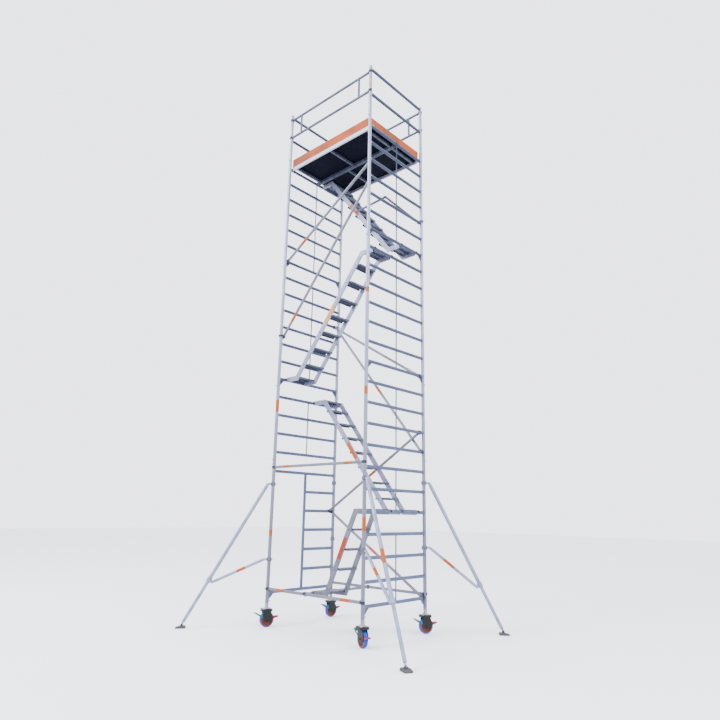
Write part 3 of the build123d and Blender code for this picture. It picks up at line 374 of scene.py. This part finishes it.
class Pile:
    """Many small shapes gathered into one mesh object."""

    def __init__(self):
        self.vertices, self.faces = [], []

    def grid(self, rings, closed_round=True, caps=True):
        """Join rings of points into a skin, with flat ends."""
        start = len(self.vertices)
        count = len(rings[0])
        for ring in rings:
            self.vertices += [tuple(point) for point in ring]
        steps = count if closed_round else count - 1
        for n in range(len(rings) - 1):
            for k in range(steps):
                a = start + n * count + k
                b = start + n * count + (k + 1) % count
                self.faces.append((a, b, b + count, a + count))
        if caps:
            self.faces.append(tuple(start + k for k in reversed(range(count))))
            last = start + (len(rings) - 1) * count
            self.faces.append(tuple(last + k for k in range(count)))

    def rod(self, start, end, radius, sides):
        """A rod with the given number of sides."""
        turn = UP.rotation_difference(end - start)
        angles = [2 * math.pi * k / sides for k in range(sides)]
        spokes = [
            turn @ Vector((radius * math.cos(angle), radius * math.sin(angle), 0))
            for angle in angles
        ]
        self.grid([[point + spoke for spoke in spokes] for point in (start, end)])

    def block(self, centre, size, turn):
        """A box, turned by a rotation matrix."""
        half = [length / 2 for length in size]
        rings = []
        for z in (-half[2], half[2]):
            corners = ((-1, -1), (1, -1), (1, 1), (-1, 1))
            rings.append(
                [Vector(centre) + turn @ Vector((x * half[0], y * half[1], z)) for x, y in corners]
            )
        self.grid(rings)

    def tube_path(self, points, radius, sides=6):
        """A closed thin bead along a loop of points."""
        count = len(points)
        start = len(self.vertices)
        for n, point in enumerate(points):
            along = (points[(n + 1) % count] - points[n - 1]).normalized()
            side = along.orthogonal().normalized()
            other = along.cross(side)
            for k in range(sides):
                angle = 2 * math.pi * k / sides
                spot = point + radius * (math.cos(angle) * side + math.sin(angle) * other)
                self.vertices.append(tuple(spot))
        for n in range(count):
            for k in range(sides):
                a = start + n * sides + k
                b = start + n * sides + (k + 1) % sides
                c = start + ((n + 1) % count) * sides + (k + 1) % sides
                d = start + ((n + 1) % count) * sides + k
                self.faces.append((a, b, c, d))

    def wrap(self, start, end, radius, thickness=0.0006, clearance=0.0001):
        """A sticker wrapped right round a tube, between two points of its axis."""
        start, end = Vector(start), Vector(end)
        along = (end - start).normalized()
        side = UP.cross(along)
        side = side.normalized() if side.length > 0.01 else Vector((1, 0, 0))
        other = along.cross(side)
        sides = 32
        inner, outer = radius + clearance, radius + thickness
        rings = []
        for point, size in ((start, inner), (start, outer), (end, outer), (end, inner)):
            ring = []
            for k in range(sides + 1):
                angle = 2 * math.pi * k / sides - math.pi
                ring.append(point + size * (math.cos(angle) * side + math.sin(angle) * other))
            rings.append(ring)
        self.grid(rings, closed_round=False, caps=False)

    def finish(self, name, made, body, smooth=False):
        """Make the mesh object and have it ride on a body."""
        mesh = bpy.data.meshes.new(name)
        mesh.from_pydata(self.vertices, [], self.faces)
        mesh.materials.append(made)
        if smooth:
            mesh.shade_smooth()
        obj = bpy.data.objects.new(name, mesh)
        bpy.context.scene.collection.objects.link(obj)
        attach(obj, body)


# ---------------------------------------------------------------- stickers

sticker_orange = plain("sticker_orange", (0.30, 0.058, 0.003), 0.45, 0.0, 0.8, 40, 0.05)
sticker_pink = plain("sticker_pink", (0.42, 0.19, 0.17), 0.45, 0.0, 0.85, 40, 0.05)

INSET_NEAR, INSET_FAR = 0.05, 0.10
CLAMP_RISE = 0.127  # the long front diagonal starts this far above its rung
# Each diagonal: Y, rung at its left and right end, shares of its length that have a sticker
DIAGONALS = (
    (FRONT_Y + INSET_NEAR, 18, 22, (0.22,)),
    (FRONT_Y + INSET_NEAR, 13 + CLAMP_RISE / PITCH, 21, (0.13,)),
    (BACK_Y - INSET_FAR, 4, 8, (0.5,)),
    (BACK_Y - INSET_NEAR, 4, 0, (0.5,)),
    (BACK_Y - INSET_NEAR, 15, 7, (0.55,)),
    (BACK_Y - INSET_FAR, 15, 11, ()),
)
LOW_BRACE = rung_height(0) + 0.048
HIGH_BRACE = rung_height(6) + 0.055
LEVEL_BRACE_SHARES = (0.16, 0.84)
STICKER_LENGTH = 0.16


def brace_stickers():
    """Orange warning stickers round the braces."""
    pile = Pile()
    lines = [
        (Vector((LEFT_X, y, rung_height(a))), Vector((RIGHT_X, y, rung_height(b))), shares)
        for y, a, b, shares in DIAGONALS
    ]
    for height in (LOW_BRACE, HIGH_BRACE):
        ends = [Vector((x, FRONT_Y, height)) for x in (LEFT_X, RIGHT_X)]
        lines.append((*ends, LEVEL_BRACE_SHARES))
    for start, end, shares in lines:
        run = (end - start).normalized()
        for share in shares:
            middle = start.lerp(end, share)
            half = run * STICKER_LENGTH / 2
            pile.wrap(middle - half, middle + half, BRACE_RADIUS)
    pile.finish("brace_stickers", sticker_orange, "root")


brace_stickers()

# ---------------------------------------------------------------- places on the tower


def tower(x, y, z):
    """A point from the tower's middle across, and from the lowest rung up."""
    return Vector((CENTRE.x + x, CENTRE.y + y, rung_height(0) + z))


HALF_LENGTH = (RIGHT_X - LEFT_X) / 2
LANDING = 0.255
BEND = HALF_LENGTH - LANDING
STRINGER_FACE = 0.011
FLIGHT_INNER, FLIGHT_OUTER = 0.120, 0.490
TREAD_HALF_HEIGHT = 0.014
# Drop to the highest tread, spacing, number of treads
FIRST_TREADS = (0.219, 0.256, 3)
FULL_TREADS = (0.143, 0.224, 7)
# Each flight: side of Y, slope from (x, z) to (x, z), treads, label's share and colour
FLIGHTS = (
    (-1, (0.120, 0.048), (BEND - 0.025, 4 * PITCH), FIRST_TREADS, 0.56, "sticker_red"),
    (1, (-BEND, 10 * PITCH), (BEND, 4 * PITCH), FULL_TREADS, 0.48, "sticker_orange"),
    (-1, (-BEND, 11 * PITCH), (BEND, 17 * PITCH), FULL_TREADS, 0.52, "sticker_yellow"),
    (1, (-BEND, 24 * PITCH - 0.017), (BEND, 18 * PITCH), FULL_TREADS, 0.44, "sticker_orange"),
)
LABELS = {
    "sticker_orange": sticker_orange,
    "sticker_red": plain("sticker_red", (0.24, 0.018, 0.002), 0.45, 0.0, 0.8, 40, 0.05),
    "sticker_yellow": plain("sticker_yellow", (0.42, 0.22, 0.02), 0.45, 0.0, 0.8, 40, 0.05),
}
CASTOR_HEAD_TOP = 0.2381
bolt_dark = plain("bolt_dark", (0.035, 0.037, 0.05), 0.45, 0.5, 0.7, 60)
bolt_zinc = plain("bolt_zinc", (0.55, 0.56, 0.58), 0.32, 0.85, 0.8, 60)
weld_bead = plain("weld_bead", (0.22, 0.23, 0.28), 0.42, 0.8, 0.7, 90, 0.3)


def flight_point(line, share, y):
    """A point on a flight's slope."""
    (x1, z1), (x2, z2) = line
    return tower(x1 + (x2 - x1) * share, y, z1 + (z2 - z1) * share)


def stair_bolts():
    """Bolt heads on the outer faces of the stringers, one for each tread."""
    head, radius, sides = 0.004, 0.0085, 6
    pile = Pile()
    for side, start, end, (drop, spacing, count), _, _ in FLIGHTS:
        rise = end[1] - start[1]
        for y, out in ((side * FLIGHT_INNER, -side), (side * FLIGHT_OUTER, side)):
            face = y + out * STRINGER_FACE
            for n in range(count):
                height = max(start[1], end[1]) - drop - n * spacing
                spot = flight_point((start, end), (height - start[1]) / rise, face)
                spot.z -= TREAD_HALF_HEIGHT
                pile.rod(spot, spot + Vector((0, out * head, 0)), radius, sides)
    pile.finish("stair_bolts", bolt_dark, "root")


def stair_labels():
    """A coloured label on the front face of each flight."""
    size, stand_off = (0.30, 0.0008, 0.060), 0.0005
    for number, (side, start, end, _, share, colour) in enumerate(FLIGHTS, 1):
        y = side * (FLIGHT_OUTER if side < 0 else FLIGHT_INNER) - STRINGER_FACE
        spot = flight_point((start, end), share, y)
        run = flight_point((start, end), 1, y) - flight_point((start, end), 0, y)
        turn = Vector((1, 0, 0)).rotation_difference(run.normalized()).to_matrix()
        pile = Pile()
        pile.block(spot - Vector((0, stand_off, 0)), size, turn)
        pile.finish(f"flight_label_{number}", LABELS[colour], "root")


# Corner, lower and upper edge above the lowest rung, 0 for orange or 1 for pink
UPRIGHT_STICKERS = (
    ("front_right", 0.883, 1.051, 0),
    ("front_right", 2.618, 2.726, 0),
    ("front_right", 4.053, 4.127, 0),
    ("front_right", 7.410, 7.480, 1),
    ("front_left", 0.758, 0.841, 0),
    ("front_left", 2.561, 2.746, 0),
)


def upright_stickers():
    """Stickers round the uprights."""
    for pink, made in enumerate((sticker_orange, sticker_pink)):
        pile = Pile()
        base = rung_height(0)
        for corner, low, high, kind in UPRIGHT_STICKERS:
            if kind == pink:
                x, y = UPRIGHTS[corner]
                pile.wrap((x, y, base + low), (x, y, base + high), UPRIGHT_RADIUS)
        pile.finish(f"upright_stickers_{pink}", made, "root")


PIVOT_REACH = 0.075
SLEEVE_SHARE = 0.7
SLEEVE_BRACKET = 0.055
LEG_RADIUS = 0.025
# Heights of the upper and lower couplers above the lowest rung
COUPLERS = {
    "front_left": (1.490, 0.440),
    "front_right": (1.530, 0.650),
    "back_right": (1.530, 0.650),
    "back_left": (1.565, 0.700),
}
# Corner, leg or arm, share of its length from the top, sticker length
LEG_STICKERS = (
    ("front_right", "leg", 0.47, 0.17),
    ("front_right", "arm", 0.44, 0.13),
    ("back_right", "arm", 0.41, 0.18),
    ("front_left", "arm", 0.45, 0.13),
    ("back_left", "leg", 0.47, 0.17),
)


def stabiliser_lines(corner):
    """Ends of a stabiliser's leg, and of its arm, from the tower outwards."""
    x, y = UPRIGHTS[corner]
    foot = joint_place(f"foot_tilt_{corner}")
    out = Vector((foot.x - x, foot.y - y, 0)).normalized()
    high, low = (rung_height(0) + rise for rise in COUPLERS[corner])
    top = Vector((x, y, high)) + out * PIVOT_REACH
    run = (foot - top).normalized()
    inward = (-out + run * out.dot(run)).normalized()
    arm_start = Vector((x, y, low)) + out * PIVOT_REACH
    arm_end = top.lerp(foot, SLEEVE_SHARE) + inward * SLEEVE_BRACKET
    return {"leg": (top, foot), "arm": (arm_start, arm_end)}


def leg_stickers():
    """Orange stickers round legs and arms."""
    for corner in CORNERS:
        pile = Pile()
        for place, kind, share, length in LEG_STICKERS:
            if place == corner:
                start, end = stabiliser_lines(corner)[kind]
                half = (end - start).normalized() * length / 2
                middle = start.lerp(end, share)
                radius = LEG_RADIUS if kind == "leg" else BRACE_RADIUS
                pile.wrap(middle - half, middle + half, radius)
        if pile.faces:
            pile.finish(f"leg_stickers_{corner}", sticker_orange, f"stabiliser_{corner}")


stair_bolts()
stair_labels()
upright_stickers()
leg_stickers()


def weld_beads():
    """Beads where the rungs' ends meet the uprights."""
    pile = Pile()
    reach = RUNG_RADIUS + 0.0015
    bead_radius, points_round = 0.0022, 24
    for x in (LEFT_X, RIGHT_X):
        for number in range(RUNG_COUNT):
            for y, inward in ((FRONT_Y, 1), (BACK_Y, -1)):
                in_doorway = x < CENTRE.x and y < CENTRE.y and 0 < number < RUNGS_PER_BASE - 1
                if in_doorway:
                    continue
                points = []
                for k in range(points_round):
                    angle = 2 * math.pi * k / points_round
                    across = reach * math.cos(angle)
                    depth = math.sqrt(UPRIGHT_RADIUS**2 - min(across, UPRIGHT_RADIUS) ** 2)
                    height = rung_height(number) + reach * math.sin(angle)
                    points.append(Vector((x + across, y + inward * depth, height)))
                pile.tube_path(points, bead_radius)
    pile.finish("weld_beads", weld_bead, "root", smooth=True)


def castor_bolts():
    """Four bolt heads on each castor's head."""
    half_along, half_across = 0.055, 0.046
    head, radius, sides = 0.006, 0.008, 6
    for corner in CORNERS:
        x, y = UPRIGHTS[corner]
        axle = joint_axis(f"wheel_spin_{corner}")
        ahead = axle.cross(UP).normalized()
        pile = Pile()
        for a in (-half_along, half_along):
            for b in (-half_across, half_across):
                spot = Vector((x, y, CASTOR_HEAD_TOP)) + ahead * a + axle * b
                pile.rod(spot, spot + UP * head, radius, sides)
        pile.finish(f"castor_bolts_{corner}", bolt_zinc, f"castor_{corner}")


weld_beads()
castor_bolts()

# ---------------------------------------------------------------- floor, light, camera


def add_floor():
    """A plain pale floor, a hair under the wheels and pads."""
    side, depth = 90, 0.0006
    bpy.ops.mesh.primitive_plane_add(size=side, location=(CENTRE.x, CENTRE.y, -depth))
    floor = bpy.context.object
    floor.name = "floor"
    made = Shader("floor_pale", (0.86, 0.87, 0.90), 0.9)
    cloud = made.noise(0.6, 3)
    made.paint(made.mix(cloud, (0.86, 0.87, 0.90), (0.83, 0.84, 0.88)))
    floor.data.materials.append(made.material)


def add_light(name, place, target, size, power, colour=(1, 1, 1)):
    """A square soft light that faces a point."""
    data = bpy.data.lights.new(name, "AREA")
    data.shape = "SQUARE"
    data.size = size
    data.energy = power
    data.color = colour
    light = bpy.data.objects.new(name, data)
    bpy.context.scene.collection.objects.link(light)
    light.location = place
    facing = Vector(target) - Vector(place)
    light.rotation_euler = facing.to_track_quat("-Z", "Y").to_euler()


def add_world():
    """Even pale surroundings."""
    world = bpy.data.worlds.new("studio")
    world.use_nodes = True
    background = world.node_tree.nodes["Background"]
    background.inputs["Color"].default_value = (0.93, 0.94, 1.0, 1)
    background.inputs["Strength"].default_value = 3.4
    bpy.context.scene.world = world


def add_camera():
    """The camera low in front of the near corner, looking up."""
    yaw, pitch, roll = 2.3102, 0.2569, 0.0177
    eye = Vector((CENTRE.x + 5.9504, CENTRE.y - 6.3004, rung_height(0) + 1.0865))
    forward = Vector(
        (math.cos(pitch) * math.cos(yaw), math.cos(pitch) * math.sin(yaw), math.sin(pitch))
    )
    right = Vector((math.sin(yaw), -math.cos(yaw), 0))
    above = right.cross(forward)
    turned_right = math.cos(roll) * right + math.sin(roll) * above
    turned_up = math.cos(roll) * above - math.sin(roll) * right
    data = bpy.data.cameras.new("camera")
    data.sensor_width = 36
    data.lens = 29.3
    data.clip_end = 200
    camera = bpy.data.objects.new("camera", data)
    bpy.context.scene.collection.objects.link(camera)
    turn = Matrix((turned_right, turned_up, -forward)).transposed().to_4x4()
    camera.matrix_world = Matrix.Translation(eye) @ turn
    bpy.context.scene.camera = camera


TOWER_MIDDLE = (CENTRE.x, CENTRE.y, 4)
add_floor()
add_world()
add_light("key", (CENTRE.x - 4, CENTRE.y - 12, 13), TOWER_MIDDLE, 6, 3400, (1, 0.98, 0.96))
add_light("fill", (CENTRE.x + 13, CENTRE.y - 2, 9), TOWER_MIDDLE, 8, 1200, (0.9, 0.93, 1))
add_camera()
